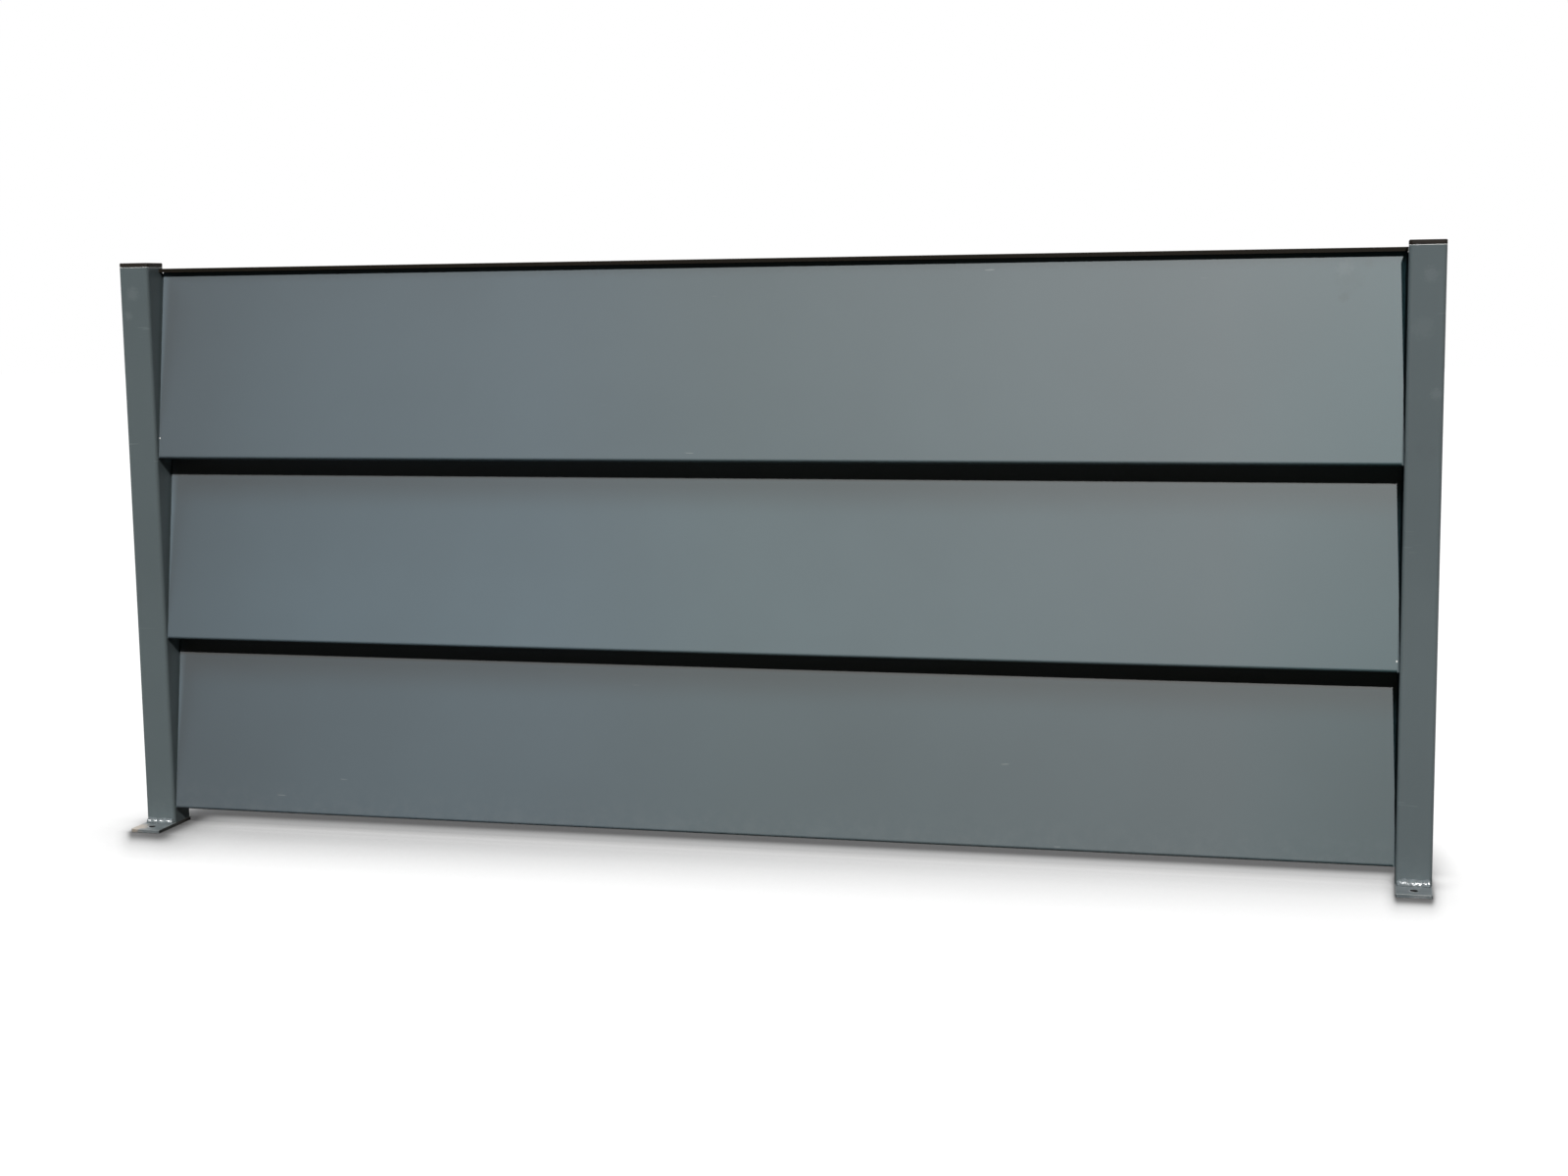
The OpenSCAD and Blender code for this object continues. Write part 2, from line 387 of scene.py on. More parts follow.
slatPaints = {
    "top": dict(
        slatPaint,
        sheenAndShadeAlong=[(0.0, 0.58), (0.03, 0.65), (0.15, 0.97), (0.35, 1.06), (0.5, 1.0), (0.85, 1.0),
                   (0.97, 0.78), (1.0, 0.68)],
        toneUp=(1.07, 0.95),
        spots=[
            dict(chip, centre=(0.0290, -0.0193, 0.6259)),
            dict(rub, centre=(1.8412, 0.0158, 0.8641), radius=0.010, cover=0.12),
            dict(smear, centre=(1.8468, 0.0132, 0.8466)),
            dict(smear, centre=(1.8407, 0.0099, 0.8239), radius=0.0065, softness=0.5, cover=0.5),
            dict(smear, centre=(1.8725, 0.0167, 0.8703), radius=0.006, cover=0.35),
        ],
    ),
    "middle": dict(
        slatPaint, lapShadeEdge=0.594,
        sheenAndShadeAlong=[(0.0, 0.70), (0.03, 0.78), (0.15, 1.12), (0.35, 1.25), (0.5, 1.2), (0.7, 1.08),
                   (0.87, 1.06), (0.97, 0.65), (1.0, 0.50)],
        toneUp=(1.06, 0.94),
        spots=[dict(chip, centre=(1.9210, -0.0217, 0.3217))],
    ),
    "bottom": dict(
        slatPaint, roughness=0.62, lapShadeEdge=0.306,
        sheenAndShadeAlong=[(0.0, 0.58), (0.03, 0.65), (0.15, 0.88), (0.35, 0.95), (0.5, 0.90), (0.7, 0.88),
                   (0.87, 0.85), (0.97, 0.50), (1.0, 0.40)],
        toneUp=(0.97, 1.01),
    ),
}

# Painted tint that goes with the painted sheen, at shares of the length: the sheets are a little bluer to the
# left, and less red at the right end.
sheenTintAlong = [
    (0.0, (1.0, 1.0, 1.10)), (0.35, (1.0, 1.0, 1.08)), (0.5, (1.0, 1.0, 1.0)), (0.85, (1.0, 1.0, 1.0)),
    (0.97, (0.62, 1.0, 1.02)), (1.0, (0.45, 1.0, 1.04)),
]


# Painted sheen and shade along a sheet: its tone is highest away from the ends and falls near them.
def sheenAndShadeAlong(tree, place, stops):
    low, high = cadBox[0].x, cadBox[1].x
    share = mathNode(tree, "DIVIDE", mathNode(tree, "SUBTRACT", axisOf(tree, place, "X"), low), high - low)
    peak = max(tone for _, tone in stops)
    level = colourRamp(tree, share, [(at, (tone / peak,) * 3) for at, tone in stops], "B_SPLINE")
    most = max(max(tint) for _, tint in sheenTintAlong)
    tint = colourRamp(tree, share, [(at, [part / most for part in tint]) for at, tint in sheenTintAlong])
    return scaled(tree, vectorMath(tree, "MULTIPLY", level, tint)[0], peak * most)


# Painted shade under a slat's lap; heights are below the next slat's edge.
underLapShade = {
    "colour": colour(0.030, 0.022, 0.014),
    "starts": 0.085, "full": 0.036, "cover": 0.26,       # where it still shows
    "hidden": 0.026, "hiddenCover": 0.7,
    "level": -0.2, "forward": -0.6,                      # how far a face looks forward
}


# Painted shade on the strip under the next slat's edge, on faces that look forward: a light brown shade below
# the shadow line, and a much darker one where that slat's shadow falls.
def paintUnderLapShade(tree, place, edgeHeight, look):
    height = axisOf(tree, place, "Z")
    full = edgeHeight - look["full"]
    shown = mapRange(tree, height, edgeHeight - look["starts"], full, 0.0, look["cover"])
    hidden = mapRange(tree, height, full, edgeHeight - look["hidden"], 0.0, look["hiddenCover"])
    forward = mapRange(tree, axisOf(tree, surfaceNormal(tree), "Y"), look["level"], look["forward"])
    return product(tree, forward, mathNode(tree, "MAXIMUM", shown, hidden))


gleam = {
    "perDepth": 0.40,            # width for each metre that the slat lies behind the post's face
    "gain": 1.75,
    "outer": 1.1, "inner": 0.3,  # shares of the width where it ends and is full
}


# The strip of a slat right beside the left post, where the post's face throws light on it.
def postGleam(tree, place, look):
    low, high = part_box("post_left")
    beside = mathNode(tree, "SUBTRACT", axisOf(tree, place, "X"), high.x)
    behind = mathNode(tree, "SUBTRACT", axisOf(tree, place, "Y"), low.y)
    share = mathNode(tree, "DIVIDE", beside, mathNode(tree, "MULTIPLY", behind, look["perDepth"]))
    return mapRange(tree, share, look["outer"], look["inner"], 1.0, look["gain"])


# The tube's top edge is made pale above this height.
paleRim = {"from": 0.8925, "fade": 0.0002, "colour": colour(0.50, 0.51, 0.50), "cover": 0.9}

postPaint = dict(slatPaint, roughness=0.30, specular=0.13, waveDepth=0.0, smudgeCover=0.6, scuffCover=0.4,
                 edgeRadius=0.0014, rim=paleRim)

postPaints = {
    "left": dict(postPaint, colour=(0.120, 0.149, 0.157), spots=[
        dict(rub, centre=(-0.002, -0.025, 0.852)),
        dict(rub, centre=(-0.012, -0.025, 0.818), radius=0.006),
    ]),
    "right": dict(postPaint, colour=(0.128, 0.157, 0.166), spots=[
        dict(rub, centre=(1.965, -0.025, 0.692), radius=0.007),
        dict(rub, centre=(1.954, -0.025, 0.853)),
        dict(rub, centre=(1.945, -0.025, 0.781), radius=0.012, cover=0.2),
    ]),
}

# Painted shade on the bolt hole's wall, and a painted glint on its rim on one side.
boltHole = {
    "radius": 0.0055,
    "wallFrom": 0.0003, "wallFull": 0.0001,      # beyond the radius
    "lip": 0.0010,
    "lipEnds": 1.3,              # over the glint's width
    "lipTowards": (-0.75, -0.66, 0),
    "lipFrom": 0.35, "lipTo": 0.75,      # cosines of the angle off that way
    "lipColour": colour(0.60, 0.62, 0.62),
    "wallShade": colour(0.010, 0.010, 0.010),
}


def boltHoleMasks(tree, place, hole):
    away = vectorMath(tree, "SUBTRACT", place, hole["centre"])[0]
    level = vectorMath(tree, "MULTIPLY", away, (1, 1, 0))[0]
    distance = vectorMath(tree, "LENGTH", level)["Value"]
    radius, lip = hole["radius"], hole["lip"]
    wallShade = mapRange(tree, distance, radius + hole["wallFrom"], radius + hole["wallFull"])
    towards = vectorMath(tree, "DOT_PRODUCT", level, hole["lipTowards"])["Value"]
    turned = mathNode(tree, "DIVIDE", towards, distance)
    turned = mapRange(tree, turned, hole["lipFrom"], hole["lipTo"])
    ring = mapRange(tree, distance, radius + lip * hole["lipEnds"], radius + lip)
    return wallShade, product(tree, ring, turned)


# The plates' edges take a light colour, a painted highlight along their front edges.
platePaint = dict(slatPaint, colour=(0.106, 0.128, 0.136), roughness=0.34, specular=0.3, waveDepth=0.0,
                  smudgeCover=0.6, scuffCover=0.4, dustReach=0.014, dustCover=0.65, dustSettled=0.20,
                  edgeRadius=0.0010, edgeMix=0.9, edgeWearAndHighlightColour=colour(0.36, 0.39, 0.39))

# Spots of dirt, and of painted shade.
dirtAndShadeSpot = {"raggedness": 0.7, "softness": 0.35, "cover": 0.8}

# Painted shade on a side that faces right; level and full are how far a face looks that way.
rightSideShade = {"level": 0.5, "full": 0.9, "cover": 0.75, "colour": colour(0.022, 0.020, 0.017)}

platePaints = {
    "left": dict(
        platePaint, boltHole=dict(boltHole, centre=(0.0, -0.053, 0.0)), rightSideShade=rightSideShade,
        spots=[
            dict(dirtAndShadeSpot, centre=(-0.024, -0.060, 0.005), radius=0.018, colour=colour(0.38, 0.32, 0.26)),
            # A near-black brown spot painted as shade at the plate's inner rear corner, beside the post and
            # under the slat.
            dict(dirtAndShadeSpot, centre=(0.024, 0.006, 0.005), radius=0.022, colour=colour(0.020, 0.012, 0.006)),
        ],
    ),
    "right": dict(
        platePaint, colour=(0.122, 0.147, 0.158), edgeWearAndHighlightColour=colour(0.46, 0.475, 0.45),
        boltHole=dict(boltHole, centre=(1.95, -0.053, 0.0)),
    ),
}

cleatPaint = dict(slatPaint, waveDepth=0.0, smudgeCover=0.3, scuffCover=0.2, edgeRadius=0.0006)


# The coat's colour, with painted sheen and shade along a slat, a painted gleam beside the left post and a
# change of tone from its lower to its upper edge, before marks and dirt.
def coatShade(tree, place, coat, paint):
    base, spread = paint["colour"], paint["toneSpread"]
    tone = mapRange(tree, coat["Tone"], *paint["toneSpan"], 1.0 - spread, 1.0 + spread)
    if paint["sheenAndShadeAlong"]:
        base = vectorMath(tree, "MULTIPLY", base, sheenAndShadeAlong(tree, place, paint["sheenAndShadeAlong"]))[0]
        tone = product(tree, tone, postGleam(tree, place, gleam))
    if paint["toneUp"]:
        low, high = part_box(paint["node"])
        upward = mapRange(tree, axisOf(tree, place, "Z"), low.z, high.z, *paint["toneUp"])
        tone = product(tree, tone, upward)
    return scaled(tree, base, tone)


# Painted shade under the laps, a pale top rim, spots, painted shade on right-facing sides, and painted shade
# and a painted glint at bolt holes, which only some pieces have.
def localMarks(tree, place, shade, paint):
    # Painted shade under the next slat's edge, tinted brown.
    if paint["lapShadeEdge"]:
        paintedShade = paintUnderLapShade(tree, place, paint["lapShadeEdge"], underLapShade)
        shade = mixColour(tree, paintedShade, shade, underLapShade["colour"])
    if paint["rim"]:
        rim = paint["rim"]
        full = rim["from"] + rim["fade"]
        paleBand = mapRange(tree, axisOf(tree, place, "Z"), rim["from"], full, 0.0, rim["cover"])
        shade = mixColour(tree, paleBand, shade, rim["colour"])
    for spot in paint["spots"]:
        mask = placeGroup(tree, spotGroup, {
            "Vector": place, "Centre": spot["centre"], "Radius": spot["radius"],
            "Raggedness": spot["raggedness"], "Softness": spot["softness"],
        })["Mask"]
        shade = mixColour(tree, product(tree, mask, spot["cover"]), shade, spot["colour"])
    # Painted shade on faces that look right.
    if paint["rightSideShade"]:
        paintedShade = paint["rightSideShade"]
        sideways = axisOf(tree, surfaceNormal(tree), "X")
        mask = mapRange(tree, sideways, paintedShade["level"], paintedShade["full"], 0.0, paintedShade["cover"])
        shade = mixColour(tree, mask, shade, paintedShade["colour"])
    # Painted shade on the hole's wall and a painted glint on one side of its rim.
    if paint["boltHole"]:
        hole = paint["boltHole"]
        wallShade, lip = boltHoleMasks(tree, place, hole)
        shade = mixColour(tree, lip, shade, hole["lipColour"])
        shade = mixColour(tree, wallShade, shade, hole["wallShade"])
    return shade


def paintMaterial(name, paint):
    material, tree = newMaterial(name)
    place = objectPlace(tree)
    coat = placeGroup(tree, coatTextureGroup, {"Vector": place, "Peel Size": paint["peelSize"]})
    wear = placeGroup(tree, wearMarksGroup, {
        "Vector": place, "Smudge Cover": paint["smudgeCover"], "Scuff Cover": paint["scuffCover"],
    })
    edge = placeGroup(tree, softEdgeGroup, {"Radius": paint["edgeRadius"]})
    dust = placeGroup(tree, groundDustGroup, {
        "Vector": place, "Reach": paint["dustReach"], "Cover": paint["dustCover"],
        "Settled": paint["dustSettled"],
    })

    shade = coatShade(tree, place, coat, paint)
    shade = mixColour(tree, product(tree, wear["Smudge"], paint["smudgeStrength"]), shade, smudgeColour)
    shade = mixColour(tree, product(tree, wear["Scuff"], paint["scuffStrength"]), shade, scuffColour)
    shade = mixColour(tree, dust["Dust"], shade, dustColour)
    # Lighter edges: a painted highlight along them, with some wear.
    shade = mixColour(tree, product(tree, edge["Edge"], paint["edgeMix"]), shade, paint["edgeWearAndHighlightColour"])
    shade = localMarks(tree, place, shade, paint)

    dull = mathNode(tree, "ADD", product(tree, wear["Smudge"], paint["smudgeDulls"]),
                    product(tree, dust["Dust"], paint["dustDulls"]))
    normal = edge["Normal"]
    if paint["waveDepth"]:
        waves = noiseAt(tree, place, paint["waveScale"], detail=1.0)
        normal = bumpNormal(tree, waves, paint["waveDepth"], normal)
    showSurface(tree, {
        "Base Color": shade, "Roughness": mathNode(tree, "ADD", dull, paint["roughness"]),
        "Specular IOR Level": paint["specular"],
        "Normal": bumpNormal(tree, coat["Height"], paint["peelDepth"], normal),
    })
    return material


weldPaint = {
    "colour": (0.155, 0.18, 0.19),
    "darker": 0.8, "lighter": 1.25,
    "toneSize": 0.006,
    "toneSpan": (0.25, 0.75),    # noise from darker to lighter
    "roughness": 0.24,
    "rougher": 0.08, "smoother": 0.06,
    "glossSpan": (0.3, 0.7),     # noise from rougher to smoother
    "specular": 0.6,
    "pitSize": 0.0011,
    "pitDepth": 0.00012,
}


def weldMaterial(name, paint):
    material, tree = newMaterial(name)
    coat = placeGroup(tree, coatTextureGroup, {
        "Vector": objectPlace(tree), "Peel Size": paint["pitSize"], "Tone Size": paint["toneSize"],
    })
    tone = mapRange(tree, coat["Tone"], *paint["toneSpan"], paint["darker"], paint["lighter"])
    rough = paint["roughness"]
    gloss = mapRange(tree, coat["Tone"], *paint["glossSpan"], rough + paint["rougher"],
                     rough - paint["smoother"])
    bump = addNode(tree, "ShaderNodeBump", {"Height": coat["Height"], "Distance": paint["pitDepth"]})
    showSurface(tree, {
        "Base Color": scaled(tree, paint["colour"], tone), "Roughness": gloss,
        "Specular IOR Level": paint["specular"], "Normal": bump.outputs["Normal"],
    })
    return material


plasticFinish = {
    "colour": colour(0.018, 0.0135, 0.0095),
    "worn": colour(0.036, 0.030, 0.024),
    "fadeSize": 0.05,
    "fadeSpan": (0.35, 0.75),
    "fade": 0.35,                # most that the worn colour shows in a faded patch
    "roughness": 0.6,
    "specular": 0.10,
    "grainSize": 0.0009,
    "grainDepth": 0.00003,
    "edgeRadius": 0.0007,
    "edgeMix": 0.5,
    "smudgeSize": 0.03, "smudgeCover": 0.5, "smudgeDulls": 0.12,
    "scuffLength": 0.02, "scuffCover": 0.5, "scuffStrength": 0.6,
}

trimFinish = dict(plasticFinish, colour=colour(0.0115, 0.0085, 0.005), worn=colour(0.018, 0.0145, 0.010),
                  specular=0.05, edgeRadius=0.0003, edgeMix=0.1)


def plasticMaterial(name, finish):
    material, tree = newMaterial(name)
    place = objectPlace(tree)
    coat = placeGroup(tree, coatTextureGroup, {
        "Vector": place, "Peel Size": finish["grainSize"], "Tone Size": finish["fadeSize"],
    })
    wear = placeGroup(tree, wearMarksGroup, {
        "Vector": place, "Smudge Size": finish["smudgeSize"], "Smudge Cover": finish["smudgeCover"],
        "Scuff Length": finish["scuffLength"], "Scuff Cover": finish["scuffCover"],
    })
    edge = placeGroup(tree, softEdgeGroup, {"Radius": finish["edgeRadius"]})
    worn = finish["worn"]
    faded = mapRange(tree, coat["Tone"], *finish["fadeSpan"], 0.0, finish["fade"])
    shade = mixColour(tree, faded, finish["colour"], worn)
    shade = mixColour(tree, product(tree, edge["Edge"], finish["edgeMix"]), shade, worn)
    shade = mixColour(tree, product(tree, wear["Scuff"], finish["scuffStrength"]), shade, worn)
    dull = product(tree, wear["Smudge"], finish["smudgeDulls"])
    showSurface(tree, {
        "Base Color": shade, "Roughness": mathNode(tree, "ADD", dull, finish["roughness"]),
        "Specular IOR Level": finish["specular"],
        "Normal": bumpNormal(tree, coat["Height"], finish["grainDepth"], edge["Normal"]),
    })
    return material


slatMaterials = {
    level: paintMaterial("Slat coat " + level, dict(slatPaints[level], node="slat_" + level))
    for level in levels
}
postMaterials = {side: paintMaterial("Post coat " + side, postPaints[side]) for side in sides}
plateMaterials = {side: paintMaterial("Plate coat " + side, platePaints[side]) for side in sides}
cleatMaterial = paintMaterial("Cleat coat", cleatPaint)
weldCoat = weldMaterial("Weld coat", weldPaint)
capPlastic = plasticMaterial("Cap plastic", plasticFinish)
trimPlastic = plasticMaterial("Trim plastic", trimFinish)
print("finishes ready")


def dressNode(name, material):
    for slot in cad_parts[name].material_slots:
        slot.material = material


for side in sides:
    dressNode("post_" + side, postMaterials[side])
    dressNode("base_plate_" + side, plateMaterials[side])
    dressNode("post_cap_" + side, capPlastic)
    for level in levels:
        dressNode("_".join(["cleat", level, side]), cleatMaterial)
for level in levels:
    dressNode("slat_" + level, slatMaterials[level])
dressNode("top_trim", trimPlastic)
print("frame dressed")


# Turns a finished bmesh into a piece that rides on the fence.
def finishPiece(name, shape, material, smooth=True):
    bmesh.ops.recalc_face_normals(shape, faces=shape.faces)
    mesh = bpy.data.meshes.new(name)
    shape.to_mesh(mesh)
    shape.free()
    mesh.materials.append(material)
    for face in mesh.polygons:
        face.use_smooth = smooth
    piece = addObject(name, mesh)
    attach(piece, "root")
    return piece


def smoothStep(share):
    share = min(max(share, 0.0), 1.0)
    return share * share * (3 - 2 * share)


# Joins rings of points, each with as many as the next, and closes both ends.
def joinRings(shape, rings):
    count = len(rings[0])
    for first, second in zip(rings, rings[1:]):
        for k in range(count):
            following = (k + 1) % count
            shape.faces.new((first[k], first[following], second[following], second[k]))
    shape.faces.new(list(reversed(rings[0])))
    shape.faces.new(rings[-1])


# Adds a closed bead to a bmesh. At each step along it, steps gives the corner that it fills and
# the two directions of its legs; sizeAt and rippleAt give its leg and its surface there.
def addBead(shape, steps, sizeAt, rippleAt, around=14):
    rings = []
    for index, (corner, up, out) in enumerate(steps):
        along = index / (len(steps) - 1)
        lean = up * (out.length / up.length) + out * (up.length / out.length)
        ring = [shape.verts.new(corner)]
        for turn in range(around + 1):
            across = turn / around
            leg = sizeAt(along, across)
            point = corner + up * leg * (1 - across) + out * leg * across
            ring.append(shape.verts.new(point + lean.normalized() * rippleAt(along, across)))
        rings.append(ring)
    joinRings(shape, rings)


thinnestEnd = 0.05               # leg at a bead's very end, over its full leg


# From 0 at both sides of a bead's face to 1 in its middle.
def arch(across):
    return 4 * across * (1 - across)


# From 0 at the ends of a bead to 1 where its taper is over.
def taperAt(along, total, length):
    return smoothStep(min(along, 1 - along) * total / length)


# One ripple of frozen weld for each whole turn of the phase, and its share over the bead's face.
def rippleLift(phase, depth, middle):
    part = phase - math.floor(phase)
    return depth * (1 - (2 * part - 1) ** 2) * math.sqrt(middle)


footWeld = {
    "cornerRadius": 0.005,       # outside corners of the post tube
    "wrap": 50,                  # degrees that the bead turns round each corner
    "legs": {"left": 0.0068, "right": 0.0080},
    "upright": 1.16,             # its leg up the post over its mean leg
    "flat": 0.84,                # its leg along the plate over its mean leg
    "legSpread": 0.0014,
    "bulge": 0.26,               # share of the leg
    "bulgeSpread": 0.2,
    "endBulge": 0.35,            # how much less it bulges in the middle of its length
    "rippleDepth": 0.00032,
    "ripplePitch": 0.0024,
    "rippleLag": 0.0016,         # how far a ripple's middle runs ahead of its ends
    "taper": 0.004,
    "steps": 260,
    "waves": 5,                  # slow waves of the leg along the bead
    "waveTurns": (2, 11),
    "waveWeights": (0.3, 1),
    "seeds": {"left": 4, "right": 11},
}


def footWeldPath(side):
    low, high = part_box("post_" + side)
    radius = footWeld["cornerRadius"]
    wrap = math.radians(footWeld["wrap"])
    straight = high.x - low.x - 2 * radius
    total = straight + 2 * wrap * radius
    upright = Vector((0, 0, footWeld["upright"]))
    steps = []
    for index in range(footWeld["steps"] + 1):
        reach = total * index / footWeld["steps"] - wrap * radius
        level = min(max(reach, 0), straight)
        angle = (reach - level) / radius
        out = Vector((math.sin(angle), -math.cos(angle), 0))
        centre = Vector((low.x + radius + level, low.y + radius, low.z))
        steps.append((centre + out * radius, upright, out * footWeld["flat"]))
    return steps, total


def makeFootWeld(side):
    steps, total = footWeldPath(side)
    meanLeg = footWeld["legs"][side]
    dice = random.Random(footWeld["seeds"][side])
    turnSpan, weightSpan = footWeld["waveTurns"], footWeld["waveWeights"]
    waves = [
        (dice.uniform(*turnSpan), dice.uniform(0, math.tau), dice.uniform(*weightSpan))
        for _ in range(footWeld["waves"])
    ]

    def sizeAt(along, across):
        swell = sum(weight * math.sin(turns * along * math.pi + phase) for turns, phase, weight in waves)
        leg = meanLeg + footWeld["legSpread"] * swell / len(waves)
        return leg * max(taperAt(along, total, footWeld["taper"]), thinnestEnd)

    def rippleAt(along, across):
        middle = arch(across)
        phase = (along * total - footWeld["rippleLag"] * middle) / footWeld["ripplePitch"]
        swell = math.sin(waves[0][0] * along * math.tau + waves[1][1]) * footWeld["bulgeSpread"]
        ends = footWeld["endBulge"] * (math.cos(math.tau * along) - 1) / 2
        bulge = footWeld["bulge"] * meanLeg * (1 + swell + ends)
        lift = bulge * middle + rippleLift(phase, footWeld["rippleDepth"], middle)
        return lift * taperAt(along, total, footWeld["taper"])

    shape = bmesh.new()
    addBead(shape, steps, sizeAt, rippleAt)
    low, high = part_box("base_plate_" + side)
    for vert in shape.verts:
        vert.co.x = min(max(vert.co.x, low.x), high.x)
    piece = finishPiece("foot_bead_" + side, shape, weldCoat)
    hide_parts("foot_weld_" + side)


for side in sides:
    makeFootWeld(side)
print("foot welds made")


cleatSize = {
    "leg": 0.020, "thickness": 0.003, "slatThickness": 0.0015, "slatBend": 0.004,
    "inset": 0.002,              # of its rear edge from the post's rear
    "facing": -0.9,              # Y of a slat's front normal, at most
}


# A slat's front is its largest flat face, which gives its slope and the foot of its cleats.
def cleatPlace(level, side):
    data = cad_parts["slat_" + level].data
    fronts = [face for face in data.polygons if face.normal.y < cleatSize["facing"]]
    front = max(fronts, key=lambda face: face.area)
    foot = min((data.vertices[k].co for k in front.vertices), key=lambda point: point.z)
    up = Vector((0, front.normal.z, -front.normal.y))
    low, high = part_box("post_" + side)
    base = foot - up * cleatSize["slatBend"]
    base.x = high.x if side == "left" else low.x
    return base, Vector((1 if side == "left" else -1, 0, 0)), -front.normal, up


studNut = {
    "heights": [0.045, 0.200],   # up the slat's face
    "along": 0.0125,             # from the post's face to the stud's axis
    "studRadius": 0.003,
    "studLength": 0.0105,        # beyond the cleat
    "studChamfer": 0.0004,
    "threadPitch": 0.001,
    "threadDepth": 0.00055,
    "threadShares": [0.2, 0.5, 0.65],    # ends of crest, flank and root in one pitch
    "threadFrom": 0.5,           # share of the nut's height
    "threadTo": 0.6,             # short of the tip, over the depth of the nut's corners
    "nutAcross": 0.010,
    "nutHeight": 0.005,
    "nutLevels": [0, 0.06, 0.14, 0.86, 0.94, 1],
    "nutSoftness": 0.14,         # share of the height over which the corners are turned off
    "nutEnd": 0.99,              # radius at its ends, over half its width
    "nutRise": 1.2,              # growth of that radius, over the depth of the corners
    "washerRadius": 0.006,
    "washerHeight": 0.0014,
    "washerChamfer": 0.0003,
    "segments": 48,
    "seed": 21,
}


# Adds rings of points around an axis; each row gives the height and a function of angle for the radius.
def addTurned(shape, base, axis, across, rows):
    other = axis.cross(across)
    rings = []
    for height, radiusAt in rows:
        ring = []
        for k in range(studNut["segments"]):
            angle = math.tau * k / studNut["segments"]
            spoke = across * math.cos(angle) + other * math.sin(angle)
            ring.append(shape.verts.new(base + axis * height + spoke * radiusAt(angle)))
        rings.append(ring)
    joinRings(shape, rings)


def plain(size):
    return lambda angle: size


# A hexagon's radius at an angle, with its corners turned off at the limit.
def hexagon(width, limit):
    def radiusAt(angle):
        part = (angle + math.pi / 6) % (math.pi / 3) - math.pi / 6
        return min(width / 2 / math.cos(part), limit)
    return radiusAt


def addStudNut(shape, seat, axis, across):
    washer, radius, soft = studNut["washerHeight"], studNut["washerRadius"], studNut["washerChamfer"]
    addTurned(shape, seat, axis, across, [
        (0.0, plain(radius)), (washer - soft, plain(radius)), (washer, plain(radius - soft)),
    ])

    width, nutHeight, softness = studNut["nutAcross"], studNut["nutHeight"], studNut["nutSoftness"]
    cornerDepth = width / 2 / math.cos(math.pi / 6) - width / 2
    rows = []
    for share in studNut["nutLevels"]:
        edge = min(share, 1 - share)
        limit = width / 2 * studNut["nutEnd"]
        limit += cornerDepth * min(edge / softness, 1) * studNut["nutRise"]
        rows.append((washer + nutHeight * share, hexagon(width, limit)))
    addTurned(shape, seat, axis, across, rows)

    pitch, chamfer = studNut["threadPitch"], studNut["studChamfer"]
    crest, root = studNut["studRadius"], studNut["studRadius"] - studNut["threadDepth"]
    crestEnd, flankEnd, rootEnd = studNut["threadShares"]
    length = studNut["studLength"]
    rows = []
    height = washer + nutHeight * studNut["threadFrom"]
    while height < length - cornerDepth * studNut["threadTo"]:
        rows += [
            (height, plain(crest)), (height + pitch * crestEnd, plain(crest)),
            (height + pitch * flankEnd, plain(root)), (height + pitch * rootEnd, plain(root)),
        ]
        height += pitch
    rows += [(length - chamfer, plain(root)), (length, plain(root - chamfer))]
    addTurned(shape, seat, axis, across, rows)


def makeFasteners(side):
    shape = bmesh.new()
    dice = random.Random(studNut["seed"])
    for level in levels:
        base, inward, back, up = cleatPlace(level, side)
        for height in studNut["heights"]:
            seat = base + inward * studNut["along"] + up * height
            seat += back * (cleatSize["slatThickness"] + cleatSize["thickness"])
            spin = dice.uniform(0, math.tau)
            addStudNut(shape, seat, back, up * math.cos(spin) + inward * math.sin(spin))
    finishPiece("stud_nuts_" + side, shape, cleatMaterial, smooth=False)


cleatBead = {
    "spans": [(0.030, 0.056), (0.128, 0.154), (0.262, 0.2968)],      # up the slat's face
    "reach": 0.0014,             # how far the upper beads fill in over the post's rounded corner
    "taper": 0.0018,
    "leg": 0.0018,
    "bulge": 0.0002,
    "rippleDepth": 0.00012,
    "ripplePitch": 0.0016,
    "rippleLag": 0.0008,
    "steps": 90,
    "around": 8,
    "seed": 35,
}


# The corner that a bead fills; near the top the cleat's rear edge is cut upright.
def cleatBeadSteps(place, rear, start, end):
    base, inward, back, up = place
    leg, reach, count = cleatBead["leg"], cleatBead["reach"], cleatBead["steps"]
    steps = []
    for k in range(count + 1):
        height = start + (end - start) * k / count
        corner = base + up * height + back * (cleatSize["slatThickness"] + cleatSize["leg"])
        if corner.y > rear:
            corner.y = rear
            steps.append((corner - inward * reach, inward * (1 + reach / leg), Vector((0, 1, 0))))
        else:
            steps.append((corner, inward, back))
    return steps


